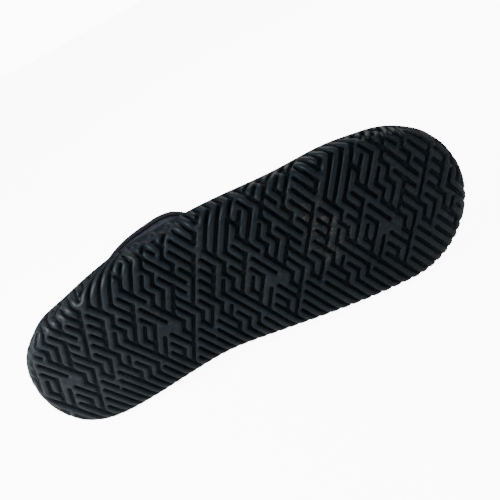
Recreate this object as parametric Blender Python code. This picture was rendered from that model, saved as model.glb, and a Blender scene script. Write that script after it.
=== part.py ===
"""A right diving boot lying on its inner side: rubber outsole, neoprene upper, insole, collar binding."""
import math

import bmesh
import bpy
import numpy as np
from mathutils import Matrix
from mathutils.geometry import delaunay_2d_cdt

# Lengths are millimetres in the boot's own frame: x from heel to toe, y to the inner side of the foot,
# z up from the ground. MM turns them into metres when a mesh is made.
MM = 0.001
GAP = 0.35
SIDE_STEPS = 28                   # steps from heel to toe along each side of a ring
INSIDE_ONLY, WELD = 1, 1e-6       # triangles inside the outline, distance at which points become one
SHARP_ANGLE = 40.0                # degrees

# Outline of the outsole
SOLE_LENGTH = 305.0
HEEL_CAP = 36.0                   # length over which the heel rounds off
TOE_CAP = 50.0
# x, centre line, half width
OUTLINE = (
    (0.0, 17.5, 43.2),
    (25.0, 13.8, 42.8),
    (46.0, 10.3, 45.5),
    (71.5, 4.2, 47.9),
    (96.0, -1.3, 48.9),
    (131.5, -6.0, 48.8),
    (164.0, -6.9, 50.4),
    (198.0, -6.2, 51.4),
    (233.0, -5.8, 52.8),
    (264.0, -3.3, 51.2),
    (284.0, -2.2, 50.6),
    (296.0, -2.5, 51.0),
    (305.0, -1.5, 51.0),
)
# x, height of the tread's face over the ground (heel, arch, toe spring), height of the rim over that face
SOLE_SIDE = (
    (0.0, 3.0, 22.0),
    (36.0, 0.4, 21.5),
    (70.0, 0.0, 21.0),
    (98.0, 0.9, 19.5),
    (125.0, 1.8, 18.0),
    (150.0, 1.1, 17.0),
    (180.0, 0.2, 16.5),
    (215.0, 0.2, 18.0),
    (255.0, 3.4, 20.0),
    (285.0, 8.0, 21.5),
    (305.0, 12.5, 23.0),
)
EDGE_RADIUS = 9.0                 # round edge between the tread's face and the side
QUARTER = EDGE_RADIUS * math.pi / 2
FLOOR_THICKNESS = 6.0
RIM_WALL = 3.4
BAND_HEIGHT = 2.4                 # smooth band along the top of the rim
BAND_STEP = 0.8
RIM_ROUND = 0.8

# Tread: a maze of bars and grooves on a diamond lattice that repeats along the sole
REPEAT_LENGTH = 74.5
REPEAT_COLUMNS = 22
COLUMN_STEP = REPEAT_LENGTH / REPEAT_COLUMNS
ROW_STEP = 6.0
GROOVE_DEPTH = 2.2
GROOVE_WIDTH = 2.6
GROOVE_RUN_ON = 2.2               # how far a blind groove runs past its last corner
EXTRA_ROWS, EXTRA_REPEATS = 6, 3  # how far the lattice is laid out round the chart
FIRST_COLUMN, FIRST_ROW = -11, -9
LATTICE_X, LATTICE_Y = 177.2, -16.1
# The lattice follows the bend of the foot. x, offset of its middle line, spread of its rows
TREAD_LINE = (
    (0.0, 14.5, 1.09),
    (30.0, 9.8, 1.09),
    (75.0, 4.1, 1.085),
    (120.0, 1.7, 1.06),
    (165.0, 0.4, 1.03),
    (210.0, -0.2, 1.0),
    (255.0, -1.2, 1.0),
    (305.0, -2.8, 1.0),
)
# How far grooves run round the edge: on the inner side, which lies on the floor, and elsewhere
WRAP_INNER, WRAP_OUTER = 9.3, 15.0
WRAP_MARGIN = 3.2
INNER_SIDE = 0.5                  # where the outline faces the inner side
# One repeat from the outer side of the foot to the inner: # is a stretch of bar, . is a stretch of groove
TREAD_REPEAT = (
    "##.#.#.#.##.#.#.#.#.#.",
    "#.#.#.#.#.#..##..##..#",
    ".#..#.#.#.##..#.#.#.##",
    "#.##.#.#.##.#...#..##.",
    "..#.#.#...#.#..##.##.#",
    "##.#.#.#.#.##.#.#.#.#.",
    "##..#.##..#.#.##..##..",
    "#.#.#.#.#.#.#.#.#.#..#",
    "..#.##..###.#.#..##.##",
    ".##.#..##.#..#..##.##.",
    "#.#.#.##.#.#...#..##..",
    "#.#..#.#.####.#.#.#.#.",
    "##.#.#..#####.#.#.#.#.",
    ".##.#..#.##.#..##..##.",
    ".#.#.#..##.#..##.###.#",
    ".#.#.##.#..#.##.###.#.",
    ".#.#.#.#.#..##.#.#.#.#",
)

# Upper: neoprene wall, from the floor of the outsole to the collar
NEOPRENE = 4.0
RIM_CLEAR = 1.5                   # height of the third ring over the rim
RING_STEP = 3.5                   # least height from there to the next ring
# Rings over the rim: front x, front z, back x, back z, share of the sole's outline, half width of the leg,
# centre of the leg, length over which the front rounds off, sag of the outer side. The slack shaft leans to
# the floor, on the inner side, and the outer side of the foot sags after it.
UPPER_RINGS = (
    (298.0, 29.5, 3.8, 28.5, 0.95, 38.0, 7.0, 52.0, 3.5),
    (290.5, 36.0, 4.8, 35.0, 0.88, 36.5, 8.0, 60.0, 7.0),
    (278.0, 42.0, 6.5, 41.0, 0.79, 35.5, 9.0, 72.0, 7.5),
    (262.0, 47.5, 8.5, 47.0, 0.70, 35.0, 10.0, 82.0, 7.5),
    (243.5, 53.0, 11.0, 53.5, 0.60, 34.7, 11.0, 90.0, 7.5),
    (225.0, 59.0, 14.0, 60.5, 0.50, 34.4, 12.0, 94.0, 7.5),
    (206.5, 65.5, 17.0, 68.0, 0.39, 34.0, 13.0, 92.0, 7.0),
    (188.5, 73.0, 19.5, 76.0, 0.27, 33.4, 13.8, 84.0, 5.5),
    (171.5, 82.0, 21.5, 85.0, 0.16, 32.5, 14.5, 72.0, 3.0),
    (157.0, 92.0, 23.0, 95.0, 0.06, 31.8, 15.0, 60.0, 1.0),
    (145.5, 103.0, 24.0, 105.5, 0.0, 31.2, 15.5, 49.0, 0.0),
    (137.5, 114.0, 24.5, 116.0, 0.0, 31.0, 15.8, 42.0, 0.0),
    (132.5, 124.5, 24.5, 126.5, 0.0, 31.0, 16.0, 38.0, 0.0),
)
LEG_MIDDLE, LEG_FRONT = 75.0, 112.0
LEG_TURN = -0.18                  # slope of the leg's centre line, which runs on straight over the instep
LEG_BACK_CAP = 57.0

INSOLE_THICKNESS = 4.0
INSOLE_CLEAR = 0.5

BINDING_THICKNESS = 1.3
BINDING_DEPTH = 10.0
BINDING_ROUND = 0.7

SOLE_FLAT, COLLAR_FLAT = 1.0, 0.4  # how far the boot is pressed flat where it lies on the floor
BALL_FROM, HEEL_TO = 150.0, 110.0
SETTLE_STEPS = 8

# Colour, roughness
RUBBER = ((0.022, 0.024, 0.028), 0.55)
CLOTH = ((0.012, 0.013, 0.018), 0.9)
FOAM = ((0.035, 0.036, 0.04), 0.85)
TAPE = ((0.009, 0.009, 0.012), 0.8)


def ease(table, column, x):
    """One column of a table at x, on a smooth curve through its rows."""
    xs = [row[0] for row in table]
    ys = [row[column] for row in table]
    slopes = np.gradient(ys, xs)
    x = min(max(x, xs[0]), xs[-1])
    k = min(int(np.searchsorted(xs, x, side="right")) - 1, len(xs) - 2)
    step = xs[k + 1] - xs[k]
    t = (x - xs[k]) / step
    start = (2 * t ** 3 - 3 * t ** 2 + 1) * ys[k] + (t ** 3 - 2 * t ** 2 + t) * step * slopes[k]
    end = (3 * t ** 2 - 2 * t ** 3) * ys[k + 1] + (t ** 3 - t ** 2) * step * slopes[k + 1]
    return start + end


def face_height(x):
    return ease(SOLE_SIDE, 1, x)


def rim_height(x):
    return ease(SOLE_SIDE, 2, x)


def tread_end(x):
    """How far the skin under the band reaches round the edge."""
    return QUARTER + rim_height(x) - EDGE_RADIUS - BAND_HEIGHT


def rounding(distance, length):
    """Share of the full width at a distance from the end of a rounded outline."""
    return math.sqrt(1 - (1 - min(distance / length, 1.0)) ** 2)


def ring_xy(back, front, half_width, centre, back_cap, front_cap):
    """Closed outline from the heel along the outer side to the toe, and back along the inner side."""
    outer, inner = [], []
    for k in range(SIDE_STEPS + 1):
        x = back + (front - back) * (1 - math.cos(math.pi * k / SIDE_STEPS)) / 2
        width = half_width(x) * rounding(x - back, back_cap)
        width *= rounding(front - x, front_cap)
        outer.append((x, centre(x) - width))
        inner.append((x, centre(x) + width))
    return np.array(outer + inner[-2:0:-1])


def outline_centre(x):
    return ease(OUTLINE, 1, x)


def outline_half(x):
    return ease(OUTLINE, 2, x)


def outward(loop):
    """Unit normals of a closed outline, pointing out."""
    tangent = np.roll(loop, -1, axis=0) - np.roll(loop, 1, axis=0)
    normal = np.column_stack([-tangent[:, 1], tangent[:, 0]])
    normal *= np.sign(np.sum(normal * (loop - loop.mean(axis=0))))
    return normal / np.linalg.norm(normal, axis=1)[:, None]


def raised(loop, height):
    """The outline as a ring in space, at a height over the tread's face."""
    return np.array([(x, y, face_height(x) + height(x)) for x, y in loop])


SOLE_LOOP = ring_xy(0.0, SOLE_LENGTH, outline_half, outline_centre, HEEL_CAP, TOE_CAP)
SOLE_NORMALS = outward(SOLE_LOOP)
RING = len(SOLE_LOOP)


def inset(distance):
    return SOLE_LOOP - SOLE_NORMALS * distance


class Solid:
    """Vertices and faces of one closed body."""

    def __init__(self):
        self.points = []
        self.faces = []

    def ring(self, points):
        first = len(self.points)
        self.points.extend(np.asarray(points, float))
        return list(range(first, len(self.points)))

    def strip(self, ring_a, ring_b):
        for a, a_next, b, b_next in zip(ring_a, np.roll(ring_a, -1), ring_b, np.roll(ring_b, -1)):
            self.faces.append((a, a_next, b_next))
            self.faces.append((a, b_next, b))

    def ladder(self, ring):
        """Closes a ring with rungs between its outer and inner side."""
        half = len(ring) // 2
        for k in range(half):
            quad = [ring[k], ring[k + 1], ring[-k - 1], ring[-k]]
            for corner in (1, 2):
                triangle = (quad[0], quad[corner], quad[corner + 1])
                if len(set(triangle)) == 3:
                    self.faces.append(triangle)


def is_bar(column, row):
    """Whether the tread is bar or groove at a place of its lattice."""
    chart_row = row - FIRST_ROW
    if chart_row < 0:
        return (column + row) % 2 == 0
    if chart_row >= len(TREAD_REPEAT):
        return (column + row) % 2 == 1
    return TREAD_REPEAT[chart_row][(column - FIRST_COLUMN) % REPEAT_COLUMNS] == "#"


def lattice_xy(corner):
    along = LATTICE_X + corner[0] * COLUMN_STEP
    across = LATTICE_Y + corner[1] * ROW_STEP
    slope = (ease(TREAD_LINE, 1, along + 1) - ease(TREAD_LINE, 1, along - 1)) / 2
    offset, spread = ease(TREAD_LINE, 1, along), ease(TREAD_LINE, 2, along)
    return np.array((along - slope * across, offset + across * spread))


def tread_grooves(has_tread):
    """Corners of the lattice that grooves run through, each with the corners that its grooves lead to."""
    leads = {}
    for row in range(FIRST_ROW - EXTRA_ROWS, FIRST_ROW + len(TREAD_REPEAT) + EXTRA_ROWS):
        for column in range(-REPEAT_COLUMNS * EXTRA_REPEATS, REPEAT_COLUMNS * EXTRA_REPEATS):
            if is_bar(column, row):
                continue
            even = (column + row) % 2 == 0
            first = (column, row) if even else (column + 1, row)
            last = (column + 1, row + 1) if even else (column, row + 1)
            if has_tread(lattice_xy(first)) and has_tread(lattice_xy(last)):
                leads.setdefault(first, []).append(last)
                leads.setdefault(last, []).append(first)
    return leads


def groove_borders(leads):
    """Places of the tread's relief in the plane with their depths, and the lines that hold its form."""
    places, lines, left, right = [], [], {}, {}

    def place(xy, depth):
        places.append((xy[0], xy[1], depth))
        return len(places) - 1

    middle = {corner: place(lattice_xy(corner), GROOVE_DEPTH) for corner in leads}
    for corner, ends in leads.items():
        centre = lattice_xy(corner)
        heading = {}
        for end in ends:
            along = lattice_xy(end) - centre
            heading[end] = math.atan2(along[1], along[0])
        order = sorted(ends, key=heading.get)
        for end, next_end in zip(order, order[1:] + order[:1]):
            if len(order) == 1:
                ahead = np.array((math.cos(heading[end]), math.sin(heading[end])))
                aside = np.array((-ahead[1], ahead[0])) * GROOVE_WIDTH / 2
                left[corner, end] = place(centre - ahead * GROOVE_RUN_ON + aside, 0.0)
                right[corner, end] = place(centre - ahead * GROOVE_RUN_ON - aside, 0.0)
                lines.append((left[corner, end], right[corner, end]))
                continue
            half_turn = (heading[next_end] - heading[end]) % (2 * math.pi) / 2
            bisector = heading[end] + half_turn
            mitre = GROOVE_WIDTH / 2 / math.sin(half_turn)
            meeting = place(centre + mitre * np.array((math.cos(bisector), math.sin(bisector))), 0.0)
            left[corner, end] = meeting
            right[corner, next_end] = meeting
    for corner, end in left:
        lines.append((left[corner, end], right[end, corner]))
        if corner < end:
            lines.append((middle[corner], middle[end]))
    return places, lines


def beyond(loop, normals, point):
    """Signed distance of a point outside a closed outline, the nearest place on it and its normal."""
    starts, ends = loop, np.roll(loop, -1, axis=0)
    along = ends - starts
    share = np.sum((point - starts) * along, axis=1) / np.sum(along * along, axis=1)
    share = np.clip(share, 0, 1)
    feet = starts + along * share[:, None]
    k = int(np.argmin(np.linalg.norm(point - feet, axis=1)))
    normal = normals[k] * (1 - share[k]) + normals[(k + 1) % len(loop)] * share[k]
    normal /= np.linalg.norm(normal)
    gap = point - feet[k]
    return math.copysign(float(np.linalg.norm(gap)), float(gap @ normal)), feet[k], normal


def wrapped(foot, normal, distance, depth):
    """A point of the sole's skin at a distance round the edge, sunk by a depth."""
    turn = min(distance, QUARTER) / EDGE_RADIUS
    reach = (EDGE_RADIUS - depth) * math.sin(turn)
    rise = EDGE_RADIUS - (EDGE_RADIUS - depth) * math.cos(turn) + max(distance - QUARTER, 0)
    x, y = foot + normal * reach
    return x, y, face_height(foot[0]) + rise


def outsole():
    solid = Solid()
    border = inset(EDGE_RADIUS)

    def has_tread(point):
        distance, foot, normal = beyond(border, SOLE_NORMALS, point)
        if normal[1] > INNER_SIDE:
            return distance < WRAP_INNER
        return distance < min(tread_end(foot[0]) - WRAP_MARGIN, WRAP_OUTER)

    flat, skin = [], []
    for foot, normal in zip(border, SOLE_NORMALS):
        flat.append(tuple(foot + normal * tread_end(foot[0])))
        skin.append(wrapped(foot, normal, tread_end(foot[0]), 0.0))
    places, lines = groove_borders(tread_grooves(has_tread))
    for foot, normal in zip(border, SOLE_NORMALS):
        if normal[1] > INNER_SIDE:
            places.append((*(foot + normal * QUARTER), 0.0))
    for x, y, depth in places:
        distance, foot, normal = beyond(border, SOLE_NORMALS, np.array((x, y)))
        flat.append((x, y))
        if distance <= 0:
            skin.append((x, y, face_height(x) + depth))
        else:
            skin.append(wrapped(foot, normal, distance, depth))
    held = [(a + RING, b + RING) for a, b in lines]
    result = delaunay_2d_cdt(flat, held, [list(range(RING))], INSIDE_ONLY, WELD)
    source = [origin[0] for origin in result[3]]
    solid.ring(skin)
    solid.faces.extend(tuple(source[k] for k in face) for face in result[2])
    rim = [
        (BAND_STEP, lambda x: rim_height(x) - BAND_HEIGHT + BAND_STEP),
        (BAND_STEP, lambda x: rim_height(x) - RIM_ROUND),
        (BAND_STEP + RIM_ROUND, rim_height),
        (RIM_WALL, rim_height),
        (RIM_WALL, lambda x: FLOOR_THICKNESS),
    ]
    last = list(range(RING))
    for depth, height in rim:
        new = solid.ring(raised(inset(depth), height))
        solid.strip(last, new)
        last = new
    solid.ladder(last)
    return solid


def upper_rings():
    """Outer skin of the upper, ring by ring from the floor of the outsole to the collar."""
    foot = inset(RIM_WALL + GAP)
    rings = [
        raised(foot, lambda x: FLOOR_THICKNESS + GAP),
        raised(foot, lambda x: (FLOOR_THICKNESS + rim_height(x)) / 2),
        raised(foot, lambda x: rim_height(x) + RIM_CLEAR),
    ]
    for number, ring in enumerate(UPPER_RINGS, start=1):
        front_x, front_z, back_x, back_z, foot_share, leg_half, leg_centre, front_cap, sag = ring

        def half_width(x):
            return foot_share * (outline_half(x) - RIM_WALL - GAP) + (1 - foot_share) * leg_half - sag / 2

        def centre(x):
            leg = leg_centre + LEG_TURN * (min(x, LEG_FRONT) - LEG_MIDDLE)
            return foot_share * outline_centre(x) + (1 - foot_share) * leg + sag / 2

        back_cap = foot_share * HEEL_CAP + (1 - foot_share) * LEG_BACK_CAP
        loop = ring_xy(back_x, front_x, half_width, centre, back_cap, front_cap)
        share = (loop[:, 0] - back_x) / (front_x - back_x)
        least = np.array([rim_height(x) + RIM_CLEAR + RING_STEP * number for x in loop[:, 0]])
        height = np.maximum(back_z + (front_z - back_z) * share, least)
        lift = np.array([face_height(x) for x in loop[:, 0]])
        rings.append(np.column_stack([loop, height + lift]))
    return np.array(rings)


def skin_normals(rings):
    """Outward unit normals of a stack of rings."""
    around = np.roll(rings, -1, axis=1) - np.roll(rings, 1, axis=1)
    up = np.gradient(rings, axis=0)
    normals = np.cross(around, up)
    normals[0, :, 2] = 0
    return normals / np.linalg.norm(normals, axis=2)[:, :, None]


UPPER_SKIN = upper_rings()
UPPER_NORMALS = skin_normals(UPPER_SKIN)


def upper():
    solid = Solid()
    outer = [solid.ring(ring) for ring in UPPER_SKIN]
    inner = [solid.ring(ring) for ring in UPPER_SKIN - UPPER_NORMALS * NEOPRENE]
    loop = outer + inner[::-1]
    for ring, next_ring in zip(loop, loop[1:] + loop[:1]):
        solid.strip(ring, next_ring)
    return solid


def insole():
    solid = Solid()
    edge = inset(RIM_WALL + GAP + NEOPRENE + GAP + INSOLE_CLEAR)
    low = solid.ring(raised(edge, lambda x: FLOOR_THICKNESS + GAP))
    high = solid.ring(raised(edge, lambda x: FLOOR_THICKNESS + GAP + INSOLE_THICKNESS))
    solid.strip(low, high)
    solid.ladder(low)
    solid.ladder(high)
    return solid


def collar_binding():
    """A tape folded over the collar: its profile as distance out from the wall, height over the collar."""
    near, far = GAP, GAP + BINDING_THICKNESS
    profile = (
        (far, -BINDING_DEPTH),
        (far, far - BINDING_ROUND),
        (far - BINDING_ROUND, far),
        (-NEOPRENE - far + BINDING_ROUND, far),
        (-NEOPRENE - far, far - BINDING_ROUND),
        (-NEOPRENE - far, -BINDING_DEPTH),
        (-NEOPRENE - near, -BINDING_DEPTH),
        (-NEOPRENE - near, near),
        (near, near),
        (near, -BINDING_DEPTH),
    )
    solid = Solid()
    collar, out = UPPER_SKIN[-1], UPPER_NORMALS[-1]
    up = UPPER_SKIN[-1] - UPPER_SKIN[-2]
    up /= np.linalg.norm(up, axis=1)[:, None]
    rings = [solid.ring(collar + out * distance + up * height) for distance, height in profile]
    for ring, next_ring in zip(rings, rings[1:] + rings[:1]):
        solid.strip(ring, next_ring)
    return solid


def resting_plane(sole_points, collar_points):
    """Floor under the boot's inner side, in the boot's frame: a point of it and its outward normal."""
    zones = (
        (sole_points[sole_points[:, 0] > BALL_FROM], SOLE_FLAT),
        (sole_points[sole_points[:, 0] < HEEL_TO], SOLE_FLAT),
        (collar_points, COLLAR_FLAT),
    )
    down = np.array((0.0, 1.0, 0.0))
    for _ in range(SETTLE_STEPS):
        ball, heel, collar = [zone[np.argmax(zone @ down)] - down * flat for zone, flat in zones]
        down = np.cross(ball - heel, collar - heel)
        down *= np.sign(down[1]) / np.linalg.norm(down)
    return ball, down


def material(name, colour, roughness):
    made = bpy.data.materials.new(name)
    made.use_nodes = True
    shader = made.node_tree.nodes["Principled BSDF"]
    shader.inputs["Base Color"].default_value = (*colour, 1.0)
    shader.inputs["Roughness"].default_value = roughness
    return made


def add_piece(name, points, faces, finish, holder):
    mesh = bpy.data.meshes.new(name)
    mesh.from_pydata([tuple(p * MM) for p in points], [], [tuple(map(int, face)) for face in faces])
    body = bmesh.new()
    body.from_mesh(mesh)
    bmesh.ops.recalc_face_normals(body, faces=body.faces[:])
    body.to_mesh(mesh)
    body.free()
    mesh.shade_smooth()
    mesh.set_sharp_from_angle(angle=math.radians(SHARP_ANGLE))
    mesh.materials.append(material(name, *finish))
    piece = bpy.data.objects.new(name, mesh)
    bpy.context.collection.objects.link(piece)
    piece.parent = holder


for old in list(bpy.data.objects):
    bpy.data.objects.remove(old)

solids = {
    "outsole": (outsole(), RUBBER),
    "upper": (upper(), CLOTH),
    "insole": (insole(), FOAM),
    "collar_binding": (collar_binding(), TAPE),
}
shapes = {name: np.array(solid.points) for name, (solid, _) in solids.items()}

# The boot lies on its inner side: what would reach under the floor is pressed flat against it
floor_point, floor_down = resting_plane(shapes["outsole"], shapes["collar_binding"])
for points in shapes.values():
    under = np.maximum((points - floor_point) @ floor_down, 0)
    points -= under[:, None] * floor_down

axis_z = -floor_down
axis_x = np.array((1.0, 0.0, 0.0)) - floor_down[0] * floor_down
axis_x /= np.linalg.norm(axis_x)
turn = np.array((axis_x, np.cross(axis_z, axis_x), axis_z))
laid = np.vstack([points @ turn.T for points in shapes.values()])
low, high = laid.min(axis=0), laid.max(axis=0)
shift = -np.array(((low[0] + high[0]) / 2, (low[1] + high[1]) / 2, low[2])) * MM

boot = bpy.data.objects.new("boot", None)
bpy.context.collection.objects.link(boot)
boot.matrix_world = Matrix.Translation(shift) @ Matrix(turn.tolist()).to_4x4()
for name, (solid, finish) in solids.items():
    add_piece(name, shapes[name], solid.faces, finish, boot)
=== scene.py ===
import math

import bmesh
import bpy
import numpy as np
from mathutils import Matrix, Vector, kdtree
from mathutils.geometry import delaunay_2d_cdt


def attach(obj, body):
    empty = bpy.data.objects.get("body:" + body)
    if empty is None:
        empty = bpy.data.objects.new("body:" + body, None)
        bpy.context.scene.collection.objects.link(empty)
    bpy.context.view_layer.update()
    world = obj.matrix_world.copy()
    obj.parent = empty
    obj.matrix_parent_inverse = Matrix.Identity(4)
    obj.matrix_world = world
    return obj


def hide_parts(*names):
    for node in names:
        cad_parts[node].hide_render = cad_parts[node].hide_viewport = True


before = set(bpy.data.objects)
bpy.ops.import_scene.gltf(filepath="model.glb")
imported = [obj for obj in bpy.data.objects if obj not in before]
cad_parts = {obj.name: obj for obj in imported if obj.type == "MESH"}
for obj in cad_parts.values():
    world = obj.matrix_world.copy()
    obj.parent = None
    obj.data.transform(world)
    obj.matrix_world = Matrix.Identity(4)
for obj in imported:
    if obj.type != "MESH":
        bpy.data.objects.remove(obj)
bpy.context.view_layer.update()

# Outsole: black rubber, moulded in one piece as a shallow cup with a raised rim. Its tread is a maze of low
# bars with round shoulders, which runs on round the edge and up the side to a smooth band along the rim.
# Lengths are millimetres in the boot's own frame: x from heel to toe, y to the inner side, z up.
MM = 0.001
GAP = 0.35                        # between pieces that meet
SOLE_LENGTH = 305.0
HEEL_CAP, TOE_CAP = 36.0, 50.0    # lengths over which heel and toe round off
# x, centre line, half width
OUTLINE = (
    (0.0, 17.5, 43.2),
    (25.0, 13.8, 42.8),
    (46.0, 10.3, 45.5),
    (71.5, 4.2, 47.9),
    (96.0, -1.3, 48.9),
    (131.5, -6.0, 48.8),
    (164.0, -6.9, 50.4),
    (198.0, -6.2, 51.4),
    (233.0, -5.8, 52.8),
    (264.0, -3.3, 51.2),
    (284.0, -2.2, 50.6),
    (296.0, -2.5, 51.0),
    (305.0, -1.5, 51.0),
)
# x, height of the tread's face over the ground, height of the rim over that face
SOLE_SIDE = (
    (0.0, 3.0, 22.0),
    (36.0, 0.4, 21.5),
    (70.0, 0.0, 21.0),
    (98.0, 0.9, 19.5),
    (125.0, 1.8, 18.0),
    (150.0, 1.1, 17.0),
    (180.0, 0.2, 16.5),
    (215.0, 0.2, 18.0),
    (255.0, 3.4, 20.0),
    (285.0, 8.0, 21.5),
    (305.0, 12.5, 23.0),
)
EDGE_RADIUS = 9.0                 # round edge between the tread's face and the side
QUARTER = EDGE_RADIUS * math.pi / 2
FLOOR_THICKNESS = 6.0
RIM_WALL = 3.4
BAND_HEIGHT, BAND_STEP = 2.4, 0.8   # smooth band along the top of the rim
# Rows of the rim as inset and rise: over the lower edge of the band, then over the top of the rim
BAND_ROWS = ((0.18, 0.15), (0.55, 0.4), (BAND_STEP, 0.9))
RIM_ROWS = ((BAND_STEP, -0.8), (0.95, -0.45), (1.3, -0.12), (1.8, 0.0), (2.9, 0.0), (3.25, -0.15),
            (RIM_WALL, -0.6))
OUTLINE_STEPS = 700
EDGE_POINTS = 640
# One repeat of the tread from the outer side of the foot to the inner: # is a stretch of bar, . of groove
TREAD_REPEAT = (
    "##.#.#.#.##.#.#.#.#.#.",
    "#.#.#.#.#.#..##..##..#",
    ".#..#.#.#.##..#.#.#.##",
    "#.##.#.#.##.#...#..##.",
    "..#.#.#...#.#..##.##.#",
    "##.#.#.#.#.##.#.#.#.#.",
    "##..#.##..#.#.##..##..",
    "#.#.#.#.#.#.#.#.#.#..#",
    "..#.##..###.#.#..##.##",
    ".##.#..##.#..#..##.##.",
    "#.#.#.##.#.#...#..##..",
    "#.#..#.#.####.#.#.#.#.",
    "##.#.#..#####.#.#.#.#.",
    ".##.#..#.##.#..##..##.",
    ".#.#.#..##.#..##.###.#",
    ".#.#.##.#..#.##.###.#.",
    ".#.#.#.#.#..##.#.#.#.#",
)
FIRST_COLUMN, FIRST_ROW = -11, -9
REPEAT_LENGTH = 74.5
COLUMN_STEP = REPEAT_LENGTH / len(TREAD_REPEAT[0])
ROW_STEP = 6.0
LATTICE_X, LATTICE_Y = 177.2, -16.1
# The lattice follows the bend of the foot. x, offset of its middle line, spread of its rows
TREAD_LINE = (
    (0.0, 14.5, 1.09),
    (30.0, 9.8, 1.09),
    (75.0, 4.1, 1.085),
    (120.0, 1.7, 1.06),
    (165.0, 0.4, 1.03),
    (210.0, -0.2, 1.0),
    (255.0, -1.2, 1.0),
    (305.0, -2.8, 1.0),
)
BEND_ROUNDS = 3                   # rounds in which a point's place on the bent lattice is found
LAID_COLUMNS, LAID_ROWS = np.arange(-64, 50), np.arange(-13, 20)   # stretch of the lattice that is laid out
LAID_MARGIN, LAID_HALF = 30.0, 90.0
GROOVE_DEPTH = 2.2
GROOVE_FLOOR = 0.8                # half width of a groove's flat bottom
GROOVE_SHOULDER = 2.4             # half width of a groove at the top of its rounded shoulders
GROOVE_RUN_ON = 2.2               # how far a blind groove runs past its last corner
CONTOURS = (0.0, 0.8, 1.0, 1.45, 2.1)   # distances from a groove's middle at which the mesh has points
CONTOUR_STEP, BEND_STEP = 2.3, 1.5      # distances of these points on straight stretches and round bends
CONTOUR_SLACK = 0.0041
BAR_STEP = 2.2                    # mesh of the bars' tops
BAR_CLEAR = BAR_STEP / 3          # its distance from the shoulders
SAME_POINT = 0.16                 # points nearer than this become one
INSIDE_ONLY, WELD = 1, 1e-6       # triangles inside the border, distance at which their corners are joined
FAR = 99.0                        # distance where no groove is near
TREAD_FADE = 1.6                  # length over which the relief runs out under the band
# The relief is lower over the inner edge and worn over the heel's end: by what share, over which stretch of
# the skin, and between which directions of the outline
INNER_LOSS, INNER_REACH, INNER_FACING = 0.7, (2.5, 8.0), (-0.5, 0.5)
HEEL_LOSS, HEEL_REACH, HEEL_FACING = 0.6, (-4.0, 5.0), (0.25, 0.75)
PAD_FROM, PAD_TO, PAD_DEPTH = 3.4, 4.2, 0.7   # the flat pads between the bars lie a little lower
EDGE_LEAD = 0.2                   # how far before its edge the sole begins to take dust
# Round nubs take the place of the bars on the outer side beside the waist
NUB_START, NUB_END, NUB_EASE = 102.0, 142.0, 6.0
NUB_REACH = (9.5, 11.5)           # stretch of the skin over which bars give way to nubs
NUB_PITCH, NUB_ROW = 11.5, 5.8
NUB_RADIUS, NUB_DEPTH = 2.7, 1.7
NUB_MESH = 0.8


def smooth_curve(t, start, end, start_slope, end_slope):
    """Point at a share t of the smooth curve between two points with their slopes."""
    near = (2 * t ** 3 - 3 * t ** 2 + 1) * start + (t ** 3 - 2 * t ** 2 + t) * start_slope
    far = (3 * t ** 2 - 2 * t ** 3) * end + (t ** 3 - t ** 2) * end_slope
    return near + far


def table_curve(table, column, x):
    """One column of a table at x, on a smooth curve through its rows."""
    xs = np.array([row[0] for row in table])
    ys = np.array([row[column] for row in table])
    slopes = np.gradient(ys, xs)
    x = np.clip(x, xs[0], xs[-1])
    k = np.clip(np.searchsorted(xs, x, side="right") - 1, 0, len(xs) - 2)
    step = xs[k + 1] - xs[k]
    return smooth_curve((x - xs[k]) / step, ys[k], ys[k + 1], step * slopes[k], step * slopes[k + 1])


def face_height(x):
    return table_curve(SOLE_SIDE, 1, x)


def rim_height(x):
    return table_curve(SOLE_SIDE, 2, x)


def tread_end(x):
    """How far the relief runs round the edge, along the skin."""
    return QUARTER + rim_height(x) - EDGE_RADIUS - BAND_HEIGHT


def over_face(xy, height):
    """Points at a height over the tread's face."""
    return np.column_stack([xy, face_height(xy[:, 0]) + height])


def outline_centre(x):
    return table_curve(OUTLINE, 1, x)


def outline_half(x):
    return table_curve(OUTLINE, 2, x)


def soft_step(value, low=0.0, high=1.0):
    """Eases from 0 to 1 while the value goes from low to high."""
    share = np.clip((value - low) / (high - low), 0, 1)
    return share * share * (3 - 2 * share)


def end_round(distance, length):
    """Share of the full width at a distance from the end of a rounded outline."""
    return np.sqrt(np.maximum(1 - (1 - np.minimum(distance / length, 1)) ** 2, 0))


def closed_outline(back, front, half_width, centre, back_cap, front_cap, steps):
    """Closed outline from the heel along the outer side to the toe, and back along the inner side."""
    x = back + (front - back) * (1 - np.cos(np.linspace(0, math.pi, steps + 1))) / 2
    width = half_width(x) * end_round(x - back, back_cap) * end_round(front - x, front_cap)
    outer = np.column_stack([x, centre(x) - width])
    inner = np.column_stack([x, centre(x) + width])
    return np.vstack([outer, inner[-2:0:-1]])


def sole_outline(steps):
    """Outline of the outsole."""
    return closed_outline(0.0, SOLE_LENGTH, outline_half, outline_centre, HEEL_CAP, TOE_CAP, steps)


def run_along(line):
    """Length along a line up to each of its points."""
    return np.append(0, np.cumsum(np.linalg.norm(np.diff(line, axis=0), axis=1)))


def at_places(places, run, values):
    """Points or directions at places along a line."""
    return np.column_stack([np.interp(places, run, column) for column in values.T])


def evenly(loop, count):
    """The same closed outline with its points at even distances."""
    closed = np.vstack([loop, loop[:1]])
    run = run_along(closed)
    return at_places(np.linspace(0, run[-1], count, endpoint=False), run, closed)


def unit(vectors):
    """The same directions with a length of one."""
    return vectors / np.linalg.norm(vectors, axis=-1, keepdims=True)


def turns(count):
    """Even angles round a full turn."""
    return np.linspace(0, 2 * math.pi, count, endpoint=False)


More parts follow.
